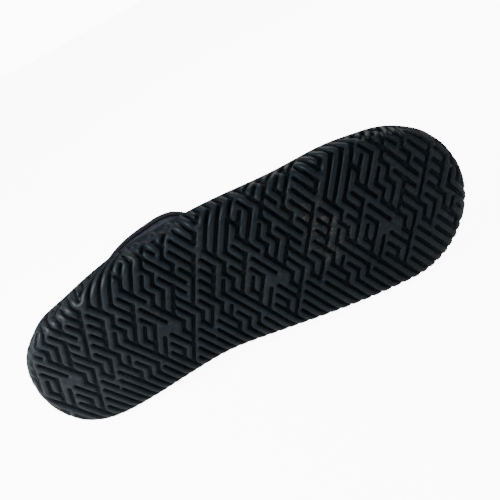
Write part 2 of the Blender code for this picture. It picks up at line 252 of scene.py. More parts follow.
def outward(loop):
    """Unit normals of a closed outline, pointing out."""
    tangent = np.roll(loop, -1, axis=0) - np.roll(loop, 1, axis=0)
    normal = np.column_stack([-tangent[:, 1], tangent[:, 0]])
    return unit(normal * np.sign(np.sum(normal * (loop - loop.mean(axis=0)))))


# How the boot lies: the way down to the floor in the boot's frame, and its origin's place over the floor
FLOOR_DOWN = np.array((0.03822495, 0.998028338, 0.049780834))
ORIGIN_PLACE = np.array((-152.033538, -63.314833, 57.453092))
heel_to_toe = unit(np.array((1.0, 0.0, 0.0)) - FLOOR_DOWN[0] * FLOOR_DOWN)
LYING = np.array((heel_to_toe, np.cross(-FLOOR_DOWN, heel_to_toe), -FLOOR_DOWN))


def laid_down(points):
    """Places of the boot's points as it lies, in metres, pressed flat where they'd be under the floor."""
    placed = (np.asarray(points) @ LYING.T + ORIGIN_PLACE) * MM
    placed[:, 2] = np.maximum(placed[:, 2], 0)
    return placed


def boot_piece(name, points, faces, material):
    """A closed smooth piece from points of the boot's frame."""
    mesh = bpy.data.meshes.new(name)
    mesh.from_pydata(laid_down(points).tolist(), [], [tuple(map(int, face)) for face in faces])
    body = bmesh.new()
    body.from_mesh(mesh)
    bmesh.ops.recalc_face_normals(body, faces=body.faces[:])
    body.to_mesh(mesh)
    body.free()
    mesh.shade_smooth()
    mesh.materials.append(material)
    piece = bpy.data.objects.new(name, mesh)
    bpy.context.scene.collection.objects.link(piece)
    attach(piece, "root")
    return piece


def band_faces(ring_a, ring_b):
    """Quads between two rings of vertex numbers."""
    return list(zip(ring_a, np.roll(ring_a, -1), np.roll(ring_b, -1), ring_b))


def is_bar(column, row):
    """Whether the tread is bar or groove at places of its lattice."""
    chart = np.array([[mark == "#" for mark in line] for line in TREAD_REPEAT])
    place = row - FIRST_ROW
    inside = chart[np.clip(place, 0, len(chart) - 1), (column - FIRST_COLUMN) % chart.shape[1]]
    odd = (column + row) % 2 == 1
    return np.where(place < 0, ~odd, np.where(place >= len(chart), odd, inside))


def tread_line(along):
    """Offset, slope and spread of the lattice at a place along the foot."""
    slope = (table_curve(TREAD_LINE, 1, along + 1) - table_curve(TREAD_LINE, 1, along - 1)) / 2
    return table_curve(TREAD_LINE, 1, along), slope, table_curve(TREAD_LINE, 2, along)


def lattice_xy(column, row):
    along = LATTICE_X + column * COLUMN_STEP
    across = LATTICE_Y + row * ROW_STEP
    offset, slope, spread = tread_line(along)
    return np.stack([along - slope * across, offset + across * spread], axis=-1)


def lattice_cell(points):
    """Column and row of the lattice's cell that each point lies in."""
    along = points[:, 0]
    for _ in range(BEND_ROUNDS):
        offset, slope, spread = tread_line(along)
        across = (points[:, 1] - offset) / spread
        along = points[:, 0] + slope * across
    column = np.floor((along - LATTICE_X) / COLUMN_STEP)
    row = np.floor((across - LATTICE_Y) / ROW_STEP)
    return column.astype(int), row.astype(int)


cell_column, cell_row = np.meshgrid(LAID_COLUMNS, LAID_ROWS, indexing="ij")
grooved = ~is_bar(cell_column, cell_row)
leans = (cell_column + cell_row) % 2
stroke_start = lattice_xy(cell_column + leans, cell_row)
stroke_end = lattice_xy(cell_column + 1 - leans, cell_row + 1)
# A corner of the lattice with one groove is a blind end, where the groove runs on a little
corner_count = np.zeros((len(LAID_COLUMNS) + 1, len(LAID_ROWS) + 1), int)
corner_lead = np.zeros(corner_count.shape + (2,))
groove_i, groove_j = np.nonzero(grooved)
lean = leans[groove_i, groove_j]
along = unit((stroke_end - stroke_start)[groove_i, groove_j])
np.add.at(corner_count, (groove_i + lean, groove_j), 1)
np.add.at(corner_count, (groove_i + 1 - lean, groove_j + 1), 1)
np.add.at(corner_lead, (groove_i + lean, groove_j), along)
np.add.at(corner_lead, (groove_i + 1 - lean, groove_j + 1), -along)
corner_column, corner_row = np.meshgrid(np.append(LAID_COLUMNS, LAID_COLUMNS[-1] + 1),
                                        np.append(LAID_ROWS, LAID_ROWS[-1] + 1), indexing="ij")
corner_xy = lattice_xy(corner_column, corner_row)
blind = corner_count == 1
run_end = corner_xy - corner_lead * GROOVE_RUN_ON


def line_distance(points, starts, ends):
    """Distance of each point from its own stretch of line."""
    run = ends - starts
    length = np.maximum(np.sum(run * run, axis=-1), WELD)
    share = np.clip(np.sum((points - starts) * run, axis=-1) / length, 0, 1)
    return np.linalg.norm(points - starts - run * share[..., None], axis=-1)


def groove_distances(points):
    """Distances of points of the flattened tread from the nearest grooves that lean either way."""
    column, row = lattice_cell(points)
    i, j = column - LAID_COLUMNS[0], row - LAID_ROWS[0]
    nearest = np.full((2, len(points)), FAR)
    strokes = (stroke_start, stroke_end, grooved, leans == 1, (-1, 0, 1), (-1, 0, 1))
    blind_ends = (corner_xy, run_end, blind, corner_lead.prod(axis=-1) < 0, (-1, 0, 1, 2), (0, 1))
    for starts, ends, present, backward, steps_i, steps_j in (strokes, blind_ends):
        for step_i in steps_i:
            for step_j in steps_j:
                a = np.clip(i + step_i, 0, len(starts) - 1)
                b = np.clip(j + step_j, 0, len(starts[0]) - 1)
                distance = line_distance(points, starts[a, b], ends[a, b])
                for way in (0, 1):
                    fits = present[a, b] & (backward[a, b] == way)
                    nearest[way] = np.where(fits, np.minimum(nearest[way], distance), nearest[way])
    return nearest


def rounded_distance(points):
    """Distance from the grooves in which the corners of the bars are rounded off."""
    first, second = groove_distances(points)
    return first * second / np.maximum(np.hypot(first, second), SAME_POINT)


sole_edge = evenly(sole_outline(OUTLINE_STEPS), EDGE_POINTS)
edge_normals = outward(sole_edge)
tread_border = sole_edge - edge_normals * EDGE_RADIUS
border_tree = kdtree.KDTree(EDGE_POINTS)
for number, (edge_x, edge_y) in enumerate(tread_border):
    border_tree.insert((edge_x, edge_y, 0), number)
border_tree.balance()


def beyond_border(points):
    """How far points lie beyond the flat of the tread, the nearest place on its border, the normal there."""
    nearest = np.array([border_tree.find((x, y, 0))[1] for x, y in points])
    best = np.full(len(points), np.inf)
    feet = np.zeros_like(points)
    normals = np.zeros_like(points)
    for step in (-1, 0):
        a = (nearest + step) % EDGE_POINTS
        b = (a + 1) % EDGE_POINTS
        run = tread_border[b] - tread_border[a]
        share = np.sum((points - tread_border[a]) * run, axis=1) / np.sum(run * run, axis=1)
        share = np.clip(share, 0, 1)[:, None]
        foot = tread_border[a] + run * share
        distance = np.linalg.norm(points - foot, axis=1)
        closer = distance < best
        best = np.where(closer, distance, best)
        feet[closer] = foot[closer]
        normals[closer] = (edge_normals[a] * (1 - share) + edge_normals[b] * share)[closer]
    side = np.sign(np.sum((points - feet) * normals, axis=1))
    return best * side, feet, unit(normals)


def nub_share(reach, feet, normals):
    """Share of nubs in the relief at a place of the skin."""
    x = feet[:, 0]
    stretch = soft_step(x - NUB_START, 0, NUB_EASE) * soft_step(NUB_END - x, 0, NUB_EASE)
    return stretch * soft_step(reach, *NUB_REACH) * (normals[:, 1] < 0)


def nub_depth(reach, feet):
    """Depth of the ground between the nubs, which rise from it as round caps."""
    row = np.round(reach / NUB_ROW)
    along = feet[:, 0] + NUB_PITCH / 2 * (row % 2)
    aside = along - NUB_PITCH * np.round(along / NUB_PITCH)
    away = np.hypot(aside, reach - NUB_ROW * row) / NUB_RADIUS
    return NUB_DEPTH * (1 - np.sqrt(np.maximum(1 - away ** 2, 0)))


def round_shoulder(share):
    """Depth of a groove from its bottom to the top of its shoulder, for shares from 0 to 1."""
    share = np.clip(share, 0, 1)
    return 1 - np.sqrt(1 - (1 - share) ** 2)


def tread_skin(points):
    """Points of the flattened tread on the sole's skin, how far each is raised and how near the edge."""
    reach, feet, normals = beyond_border(points)
    middle = rounded_distance(points)
    depth = GROOVE_DEPTH * round_shoulder((middle - GROOVE_FLOOR) / (GROOVE_SHOULDER - GROOVE_FLOOR))
    depth += PAD_DEPTH * soft_step(middle, PAD_FROM, PAD_TO)
    depth *= 1 - INNER_LOSS * soft_step(reach, *INNER_REACH) * soft_step(normals[:, 1], *INNER_FACING)
    depth *= 1 - HEEL_LOSS * soft_step(reach, *HEEL_REACH) * soft_step(-normals[:, 0], *HEEL_FACING)
    nubs = nub_share(reach, feet, normals)
    depth = depth * (1 - nubs) + nub_depth(reach, feet) * nubs
    depth *= soft_step(tread_end(feet[:, 0]) - reach, 0, TREAD_FADE)
    turn = np.clip(reach, 0, QUARTER) / EDGE_RADIUS
    out = (EDGE_RADIUS - depth) * np.sin(turn)
    rise = EDGE_RADIUS - (EDGE_RADIUS - depth) * np.cos(turn) + np.maximum(reach - QUARTER, 0)
    flat = reach <= 0
    xy = np.where(flat[:, None], points, feet + normals * out[:, None])
    z = face_height(np.where(flat, points[:, 0], feet[:, 0])) + np.where(flat, depth, rise)
    raised = np.maximum(1 - depth / GROOVE_DEPTH, nubs)
    return np.column_stack([xy, z]), raised, soft_step(reach / QUARTER + EDGE_LEAD)


def mesh_of_points(step):
    """Points in staggered rows over the whole flattened tread."""
    xs = np.arange(-LAID_MARGIN, SOLE_LENGTH + LAID_MARGIN, step)
    ys = np.arange(-LAID_HALF, LAID_HALF, step * math.sqrt(3) / 2)
    grid_x, grid_y = np.meshgrid(xs, ys, indexing="ij")
    grid_x = grid_x + step / 2 * (np.arange(len(ys)) % 2)
    return np.column_stack([grid_x.ravel(), grid_y.ravel()])


def contour_places():
    """Points along the grooves' bottoms, walls and shoulders, and over the tops of the bars."""
    starts = np.vstack([stroke_start[grooved], corner_xy[blind]])
    ends = np.vstack([stroke_end[grooved], run_end[blind]])
    run = ends - starts
    length = np.linalg.norm(run, axis=1)
    aside = np.column_stack([-run[:, 1], run[:, 0]]) / length[:, None]
    steps = int(np.ceil(length.max() / CONTOUR_STEP))
    kept = []
    for offset in CONTOURS:
        for share in np.linspace(0, 1, steps + 1):
            for side in (-1, 1):
                kept.append((starts + run * share + aside * offset * side, offset))
        arc_steps = max(int(2 * math.pi * offset / BEND_STEP), 1)
        for angle in turns(arc_steps):
            swing = offset * np.array((math.cos(angle), math.sin(angle)))
            kept.append((starts + swing, offset))
            kept.append((ends + swing, offset))
    places = np.vstack([points for points, _ in kept])
    offsets = np.concatenate([np.full(len(points), offset) for points, offset in kept])
    places = places[np.abs(groove_distances(places).min(axis=0) - offsets) < CONTOUR_SLACK]
    tops = mesh_of_points(BAR_STEP)
    tops = tops[groove_distances(tops).min(axis=0) > GROOVE_SHOULDER + BAR_CLEAR]
    return np.vstack([places, tops])


def skin_points(points, nubbed):
    """Those points of the flattened tread that lie on the sole, among the nubs or apart from them."""
    reach, feet, normals = beyond_border(points)
    on_sole = reach < tread_end(feet[:, 0]) - CONTOUR_STEP / 2
    return points[on_sole & ((nub_share(reach, feet, normals) > 0) == nubbed)]


def outsole_mesh():
    """Vertices and faces of the outsole, how far each vertex is raised and how near the edge."""
    flat = contour_places()
    flat = np.vstack([skin_points(flat, False), skin_points(mesh_of_points(NUB_MESH), True)])
    _, first = np.unique(np.round(flat / SAME_POINT).astype(int), axis=0, return_index=True)
    border = tread_border + edge_normals * tread_end(tread_border[:, 0])[:, None]
    flat = np.vstack([border, flat[np.sort(first)]])
    result = delaunay_2d_cdt(flat.tolist(), [], [list(range(EDGE_POINTS))], INSIDE_ONLY, WELD)
    source = [origin[0] for origin in result[3]]
    faces = [tuple(source[k] for k in face)[::-1] for face in result[2]]
    points, raised, edge = tread_skin(flat)
    wall = rim_height(sole_edge[:, 0])
    rows = [(inset, wall - BAND_HEIGHT + rise) for inset, rise in BAND_ROWS]
    rows += [(inset, wall + rise) for inset, rise in RIM_ROWS]
    rows.append((RIM_WALL, FLOOR_THICKNESS))
    stack = [points]
    last = np.arange(EDGE_POINTS)
    for number, (inset, height) in enumerate(rows):
        stack.append(over_face(sole_edge - edge_normals * inset, height))
        ring = np.arange(EDGE_POINTS) + len(points) + number * EDGE_POINTS
        faces.extend(band_faces(last, ring))
        last = ring
    for k in range(EDGE_POINTS // 2):
        faces.append(tuple(dict.fromkeys((last[k], last[k + 1], last[-k - 1], last[-k]))))
    on_rim = np.ones(len(rows) * EDGE_POINTS)
    return np.vstack(stack), faces, np.append(raised, on_rim), np.append(edge, on_rim)


def node_group(name, numbers, outputs):
    """A group of shader nodes that takes a vector and some numbers, and its two ends."""
    tree = bpy.data.node_groups.new(name, "ShaderNodeTree")
    tree.interface.new_socket("Vector", in_out="INPUT", socket_type="NodeSocketVector")
    for label, value in numbers.items():
        socket = tree.interface.new_socket(label, in_out="INPUT", socket_type="NodeSocketFloat")
        socket.default_value = value
    for label in outputs:
        tree.interface.new_socket(label, in_out="OUTPUT", socket_type="NodeSocketFloat")
    return tree, tree.nodes.new("NodeGroupInput"), tree.nodes.new("NodeGroupOutput")


def add_node(tree, kind, **settings):
    """A shader node with its settings."""
    made = tree.nodes.new(kind)
    for label, value in settings.items():
        setattr(made, label, value)
    return made


def plug(tree, socket, value):
    """Gives a socket a number, a colour or what comes out of another node."""
    if isinstance(value, bpy.types.NodeSocket):
        tree.links.new(value, socket)
    elif isinstance(value, tuple):
        socket.default_value = (*value, 1.0)
    else:
        socket.default_value = value


def math_node(tree, operation, *values):
    """A sum, product or other step of arithmetic on numbers and sockets."""
    made = add_node(tree, "ShaderNodeMath", operation=operation)
    for socket, value in zip(made.inputs, values):
        plug(tree, socket, value)
    return made.outputs[0]


MIX_SHARE, MIX_FIRST, MIX_SECOND, MIX_RESULT = 0, 6, 7, 2   # sockets of a node that mixes colours


def mixed_colour(tree, share, first, second):
    """A colour between two others, by a share that changes over the surface."""
    made = add_node(tree, "ShaderNodeMix", data_type="RGBA")
    for number, value in ((MIX_SHARE, share), (MIX_FIRST, first), (MIX_SECOND, second)):
        plug(tree, made.inputs[number], value)
    return made.outputs[MIX_RESULT]


def mapped(tree, value, from_low, from_high, to_low=0.0, to_high=1.0):
    """A value moved from one range to another, and held inside it."""
    made = add_node(tree, "ShaderNodeMapRange", clamp=True)
    for socket, given in zip(made.inputs, (value, from_low, from_high, to_low, to_high)):
        plug(tree, socket, given)
    return made.outputs[0]


def noise(tree, vector, scale, detail):
    """A cloudy noise over the surface."""
    made = add_node(tree, "ShaderNodeTexNoise")
    for label, value in (("Vector", vector), ("Scale", scale), ("Detail", detail)):
        plug(tree, made.inputs[label], value)
    return made.outputs["Fac"]


def placed_group(tree, group, **values):
    """What comes out of a group of nodes that is put into a material with its own values."""
    made = add_node(tree, "ShaderNodeGroup", node_tree=group)
    for label, value in values.items():
        plug(tree, made.inputs[label], value)
    return made.outputs


def relief(tree, height, distance):
    """Fine relief for a shader's normal, with its height in metres."""
    bump = add_node(tree, "ShaderNodeBump")
    plug(tree, bump.inputs["Distance"], distance)
    plug(tree, bump.inputs["Height"], height)
    return bump.outputs["Normal"]


def finish(name):
    """A new material, its tree, its shader and the coordinates of the piece."""
    made = bpy.data.materials.new(name)
    made.use_nodes = True
    tree = made.node_tree
    place = tree.nodes.new("ShaderNodeTexCoord").outputs["Object"]
    return made, tree, tree.nodes["Principled BSDF"], place


def dress(tree, shader, values):
    """Puts numbers, colours and textures into a shader's sockets."""
    for label, value in values.items():
        plug(tree, shader.inputs[label], value)


# Grain of a moulded skin: a fine pebble for the relief and slow clouds for the tone
grain_group, grain_in, grain_out = node_group(
    "moulded grain", {"Grain": 1400.0, "Cloud": 30.0}, ("Height", "Tone"))
for label, scale, detail in (("Height", "Grain", 3.0), ("Tone", "Cloud", 4.0)):
    cloud = noise(grain_group, grain_in.outputs["Vector"], grain_in.outputs[scale], detail)
    plug(grain_group, grain_out.inputs[label], cloud)

# Dust and scuffs: patches broken up by a finer noise
dust_group, dust_in, dust_out = node_group(
    "dust and scuffs", {"Patch": 45.0, "Speck": 700.0, "Amount": 0.5}, ("Mask",))
mask = dust_in.outputs["Amount"]
for scale, detail, limits in (("Patch", 5.0, (0.45, 0.75)), ("Speck", 2.0, (0.42, 0.68))):
    spots = noise(dust_group, dust_in.outputs["Vector"], dust_in.outputs[scale], detail)
    mask = math_node(dust_group, "MULTIPLY", mapped(dust_group, spots, *limits), mask)
plug(dust_group, dust_out.inputs["Mask"], mask)

# Rubber colours. The groove colour is painted shade: the grooves are the same rubber as the bars, darkened
# where shade falls in them.
RUBBER_GROOVE_SHADE = (0.0009, 0.0014, 0.0018)
RUBBER_BAR = (0.0045, 0.0073, 0.0096)
RUBBER_WORN = (0.0084, 0.0127, 0.0162)
RUBBER_DUST = (0.12, 0.118, 0.112)
RUBBER_SOIL = (0.046, 0.041, 0.035)
RUBBER_PAINTED_SHEEN = (0.0150, 0.0192, 0.0222)
GROOVE_SHADE_TONES, WORN_TONES = (0.05, 0.7), (0.38, 0.66)   # where the painted shade of the grooves turns to bar, and bar to worn bar
RUBBER_ROUGHNESS, ROUGH_TONES = (0.46, 0.62), (0.3, 0.7)
RUBBER_SHINE, RUBBER_TINT = 0.11, (0.66, 0.87, 1.0)
SHEEN_WEIGHT, SHEEN_ROUGHNESS, SHEEN_FROM = 0.14, 0.36, 0.4   # thin gloss on the bars
RUBBER_RELIEF = 0.00026
EDGE_DUST = (0.12, 0.75)          # amount of dust on the flat and round the edge
# A painted bluish sheen over the heel and, thinner, over the toe, standing in for the reflection of the
# light that falls there: its share, where it ends, how it thins out
HEEL_PAINTED_SHEEN, HEEL_SHEEN_END, HEEL_SHEEN_EASE = 0.58, 115.0, 90.0
TOE_PAINTED_SHEEN, TOE_SHEEN_END, TOE_SHEEN_EASE = 0.24, 245.0, 45.0
# A patch of dried soil under the ball
SOIL_PLACE, SOIL_SIZE = np.array((212.0, -16.0)), np.array((12.0, 26.0))
SOIL_AMOUNT, SOIL_EDGE = 5.0, 1.2
rubber, tree, shader, place = finish("black rubber")
grain = placed_group(tree, grain_group, Vector=place, Grain=1150.0, Cloud=38.0)
raised, edge, soil, painted_sheen = (add_node(tree, "ShaderNodeAttribute", attribute_name=label).outputs["Fac"]
                            for label in ("raised", "edge", "soil", "painted_sheen"))
dust = placed_group(tree, dust_group, Vector=place, Patch=48.0, Speck=620.0,
                    Amount=mapped(tree, edge, 0.0, 1.0, *EDGE_DUST))
dried = placed_group(tree, dust_group, Vector=place, Patch=160.0, Speck=900.0, Amount=soil)
bars = mixed_colour(tree, mapped(tree, grain["Tone"], *WORN_TONES), RUBBER_BAR, RUBBER_WORN)
# Painted shade in the grooves: darker where the skin is sunk, the bar colour where it is raised
groove_shaded = mixed_colour(tree, mapped(tree, raised, *GROOVE_SHADE_TONES), RUBBER_GROOVE_SHADE, bars)
# Painted bluish sheen over the heel and the toe
sheened = mixed_colour(tree, painted_sheen, groove_shaded, RUBBER_PAINTED_SHEEN)
dusty = mixed_colour(tree, dust["Mask"], sheened, RUBBER_DUST)
dress(tree, shader, {
    "Base Color": mixed_colour(tree, dried["Mask"], dusty, RUBBER_SOIL),
    "Roughness": mapped(tree, grain["Tone"], *ROUGH_TONES, *RUBBER_ROUGHNESS),
    "Coat Weight": mapped(tree, raised, SHEEN_FROM, 1.0, 0.0, SHEEN_WEIGHT),
    "Coat Roughness": SHEEN_ROUGHNESS,
    "Specular IOR Level": RUBBER_SHINE,
    "Specular Tint": RUBBER_TINT,
    "Normal": relief(tree, grain["Height"], RUBBER_RELIEF),
})

sole_points, sole_faces, sole_raised, sole_rim = outsole_mesh()
sole_x = sole_points[:, 0]
sole_rim *= soft_step(HEEL_CAP - sole_x, 0, HEEL_CAP) + soft_step(sole_x, SOLE_LENGTH - TOE_CAP, SOLE_LENGTH)
away = np.linalg.norm((sole_points[:, :2] - SOIL_PLACE) / SOIL_SIZE, axis=1)
on_face = sole_points[:, 2] < face_height(sole_x) + GROOVE_DEPTH
sole_soil = SOIL_AMOUNT * soft_step(SOIL_EDGE - away) * on_face
# Share of the painted sheen: most over the heel, thinner over the toe
sole_painted_sheen = (HEEL_PAINTED_SHEEN * soft_step(HEEL_SHEEN_END - sole_x, 0, HEEL_SHEEN_EASE)
             + TOE_PAINTED_SHEEN * soft_step(sole_x - TOE_SHEEN_END, 0, TOE_SHEEN_EASE))
outsole = boot_piece("outsole_rubber", sole_points, sole_faces, rubber)
for label, values in (("raised", sole_raised), ("edge", sole_rim), ("soil", sole_soil), ("painted_sheen", sole_painted_sheen)):
    outsole.data.attributes.new(label, "FLOAT", "POINT").data.foreach_set("value", values)
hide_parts("outsole")

# Upper: one neoprene bootee, foot and shaft, faced with a dark knit on both sides. Its lower edge is glued
# into the cup of the outsole. Panels meet in flat seams, and the slack shaft folds and leans to the floor.
NEOPRENE = 4.0
RIM_CLEAR = 1.5                   # height of the third ring over the rim
RING_STEP = 3.5                   # least height from there to the next ring
# Rings over the rim: front x, front z, back x, back z, share of the sole's outline, half width of the leg,
# centre of the leg, length over which the front rounds off, sag of the outer side
UPPER_RINGS = (
    (298.0, 29.5, 3.8, 28.5, 0.95, 38.0, 7.0, 52.0, 3.5),
    (290.5, 36.0, 4.8, 35.0, 0.88, 36.5, 8.0, 60.0, 7.0),
    (278.0, 42.0, 6.5, 41.0, 0.79, 35.5, 9.0, 72.0, 7.5),
    (262.0, 47.5, 8.5, 47.0, 0.70, 35.0, 10.0, 82.0, 7.5),
    (243.5, 53.0, 11.0, 53.5, 0.60, 34.7, 11.0, 90.0, 7.5),
    (225.0, 59.0, 14.0, 60.5, 0.50, 34.4, 12.0, 94.0, 7.5),
    (206.5, 65.5, 17.0, 68.0, 0.39, 34.0, 13.0, 92.0, 7.0),
    (188.5, 73.0, 19.5, 76.0, 0.27, 33.4, 13.8, 84.0, 5.5),
    (171.5, 82.0, 21.5, 85.0, 0.16, 32.5, 14.5, 72.0, 3.0),
    (157.0, 92.0, 23.0, 95.0, 0.06, 31.8, 15.0, 60.0, 1.0),
    (145.5, 103.0, 24.0, 105.5, 0.0, 31.2, 15.5, 49.0, 0.0),
    (137.5, 114.0, 24.5, 116.0, 0.0, 31.0, 15.8, 42.0, 0.0),
    (132.5, 124.5, 24.5, 126.5, 0.0, 31.0, 16.0, 38.0, 0.0),
)
LEG_MIDDLE, LEG_FRONT = 75.0, 112.0
LEG_TURN = -0.18                  # slope of the leg's centre line, which runs on straight over the instep
LEG_BACK_CAP = 57.0
UPPER_STEPS = 170                 # round a ring the heel is at 0, the front at this place
UPPER_AROUND = 2 * UPPER_STEPS
RIM_RING, COLLAR_RING = 2.0, 15.0
RIM_TUCK = 0.3                    # how far under the rim's ring the close rows begin
UPPER_ROWS = 94                   # close rows from there to the collar
# Depth and width of a crease, then its line as place round the ring and ring number
CREASES = (
    (1.5, 4.5, ((128, 10.6), (150, 10.2), (170, 10.0), (192, 10.3), (212, 10.8))),
    (1.2, 4.0, ((140, 9.1), (158, 8.8), (176, 8.7), (198, 9.2))),
    (1.3, 5.0, ((104, 11.6), (126, 11.9), (146, 12.0))),
    (1.0, 4.0, ((196, 11.7), (218, 11.3), (236, 10.5))),
    (1.1, 5.0, ((8, 9.4), (26, 9.0), (48, 9.3), (66, 10.0))),
    (1.0, 5.0, ((286, 9.8), (306, 9.2), (326, 9.0), (338, 9.3))),
    (0.8, 6.0, ((60, 6.2), (90, 6.8), (116, 7.6))),
    (0.8, 6.0, ((230, 7.4), (256, 6.7), (284, 6.4))),
    (0.7, 7.0, ((150, 4.2), (170, 4.6), (190, 4.2))),
)
CREASE_SWELL, CREASE_SPREAD = 0.45, 2.0   # swelling on both sides of a crease: share of its depth and width
SEAM_DIP, SEAM_WIDTH, SEAM_SWELL, SEAM_SPREAD = 0.55, 0.9, 0.3, 3.0
RELIEF_START, RELIEF_END, RELIEF_EASE = 2.2, 14.1, 0.8   # rings between which the skin has creases and dips
# Lines of the seams, as place round the ring and ring number
FRONT_SEAM = ((216, 15.0), (214, 13.6), (211, 12.0), (206, 10.4), (200, 8.9), (194, 7.6))
VAMP_SEAM = ((214, 13.4), (204, 12.6), (190, 11.6), (174, 10.4), (156, 8.9), (138, 7.2), (122, 5.4),
             (110, 3.9), (103, 2.6))
HEEL_SEAM = ((0.0, 2.4), (0.0, 6.0), (0.0, 10.0), (0.0, 15.0))
PATH_POINTS = 90


def upper_table_rings():
    """Rings of the upper's skin from the outsole's floor to the collar, one for each row of its table."""
    edge = sole_outline(UPPER_STEPS)
    foot = edge - outward(edge) * (RIM_WALL + GAP)
    rim = rim_height(foot[:, 0])
    heights = (FLOOR_THICKNESS + GAP, (FLOOR_THICKNESS + rim) / 2, rim + RIM_CLEAR)
    rings = [over_face(foot, height) for height in heights]
    for number, ring in enumerate(UPPER_RINGS, start=1):
        front_x, front_z, back_x, back_z, foot_share, leg_half, leg_centre, front_cap, sag = ring

        def half_width(x):
            return foot_share * (outline_half(x) - RIM_WALL - GAP) + (1 - foot_share) * leg_half - sag / 2

        def centre(x):
            leg = leg_centre + LEG_TURN * (np.minimum(x, LEG_FRONT) - LEG_MIDDLE)
            return foot_share * outline_centre(x) + (1 - foot_share) * leg + sag / 2

        back_cap = foot_share * HEEL_CAP + (1 - foot_share) * LEG_BACK_CAP
        loop = closed_outline(back_x, front_x, half_width, centre, back_cap, front_cap, UPPER_STEPS)
        share = (loop[:, 0] - back_x) / (front_x - back_x)
        least = rim_height(loop[:, 0]) + RIM_CLEAR + RING_STEP * number
        height = np.maximum(back_z + (front_z - back_z) * share, least)
        rings.append(over_face(loop, height))
    return np.array(rings)


table_rings = upper_table_rings()
ring_slopes = np.gradient(table_rings, axis=0)


def skin_rings(places):
    """Rings of the upper's skin at places between the rings of its table, on smooth curves."""
    places = np.clip(places, 0, COLLAR_RING)
    k = np.minimum(places.astype(int), int(COLLAR_RING) - 1)
    t = (places - k)[:, None, None]
    return smooth_curve(t, table_rings[k], table_rings[k + 1], ring_slopes[k], ring_slopes[k + 1])


def skin_normals(rings):
    """Outward unit normals of a stack of rings."""
    around = np.roll(rings, -1, axis=1) - np.roll(rings, 1, axis=1)
    normals = np.cross(around, np.gradient(rings, axis=0))
    normals[0, :, 2] = 0
    return unit(normals)


upper_places = np.append((0.0, 1.0), np.linspace(RIM_RING - RIM_TUCK, COLLAR_RING, UPPER_ROWS))
upper_skin = skin_rings(upper_places)
upper_normals = skin_normals(upper_skin)


def on_skin(path, skin):
    """A line on a skin of the upper, from places round the ring and ring numbers, as points in space."""
    path = np.array(path, float)
    run = np.linspace(0, len(path) - 1, PATH_POINTS)
    around = np.interp(run, np.arange(len(path)), path[:, 0]) % UPPER_AROUND
    ring = np.interp(run, np.arange(len(path)), path[:, 1])
    row = np.interp(ring, upper_places, np.arange(len(upper_places)))
    low_row = np.minimum(row.astype(int), len(upper_places) - 2)
    low_around = around.astype(int) % UPPER_AROUND
    up, on = (row - low_row)[:, None], (around - around.astype(int))[:, None]
    next_around = (low_around + 1) % UPPER_AROUND
    low = skin[low_row, low_around] * (1 - on) + skin[low_row, next_around] * on
    high = skin[low_row + 1, low_around] * (1 - on) + skin[low_row + 1, next_around] * on
    return low * (1 - up) + high * up


def path_distance(points, line):
    """Distance of each point from a line of many points."""
    nearest = np.full(len(points), FAR)
    for start, end in zip(line[:-1], line[1:]):
        nearest = np.minimum(nearest, line_distance(points, start, end))
    return nearest


def upper_relief():
    """How far the skin stands out or sinks in at its creases and seams."""
    points = upper_skin.reshape(-1, 3)
    dips = [(depth, depth * CREASE_SWELL, width, CREASE_SPREAD, path) for depth, width, path in CREASES]
    dips += [(SEAM_DIP, SEAM_SWELL, SEAM_WIDTH, SEAM_SPREAD, path)
             for path in (FRONT_SEAM, VAMP_SEAM, HEEL_SEAM)]
    sunk = np.zeros(len(points))
    for depth, swell, width, spread, path in dips:
        share = path_distance(points, on_skin(path, upper_skin)) / width
        sunk -= (depth + swell) * np.exp(-share ** 2)
        sunk += swell * np.exp(-(share / spread) ** 2)
    ends = soft_step(upper_places - RELIEF_START, 0, RELIEF_EASE)
    ends *= soft_step(RELIEF_END - upper_places, 0, RELIEF_EASE)
    return sunk.reshape(upper_skin.shape[:2]) * ends[:, None]


worn_skin = upper_skin + upper_normals * upper_relief()[:, :, None]


def stack_faces(rings, around, first=0, capped=False):
    """Faces over a stack of rings whose last is joined to the first, or whose two ends are capped."""
    numbers = first + np.arange(rings * around).reshape(rings, around)
    faces = []
    for ring, next_ring in zip(numbers[:-1], numbers[1:]):
        faces.extend(band_faces(ring, next_ring))
    if capped:
        return [*faces, tuple(numbers[0][::-1]), tuple(numbers[-1])]
    return faces + band_faces(numbers[-1], numbers[0])


def cloth_map(piece, rings):
    """Lays the grain of a cloth over a stack of rings, along each ring and up from ring to ring."""
    steps = np.linalg.norm(np.roll(rings, -1, axis=1) - rings, axis=2) * MM
    along = np.cumsum(steps, axis=1) - steps
    climb = np.linalg.norm(np.diff(rings, axis=0), axis=2).mean(axis=1) * MM
    up = np.append(0, np.cumsum(climb))
    count = rings.shape[1]
    mesh = piece.data
    corner = np.zeros(len(mesh.loops), np.int64)
    mesh.loops.foreach_get("vertex_index", corner)
    row, place = corner // count, corner % count
    u = along[row, place]
    first = np.zeros(len(mesh.polygons), np.int64)
    total = np.zeros(len(mesh.polygons), np.int64)
    mesh.polygons.foreach_get("loop_start", first)
    mesh.polygons.foreach_get("loop_total", total)
    owner = np.repeat(np.arange(len(first)), total)
    last = np.zeros(len(first), bool)
    np.logical_or.at(last, owner, place == count - 1)
    u = np.where(last[owner] & (place == 0), steps.sum(axis=1)[row], u)
    layer = mesh.uv_layers.new(name="cloth")
    layer.data.foreach_set("uv", np.column_stack([u, up[row]]).ravel())


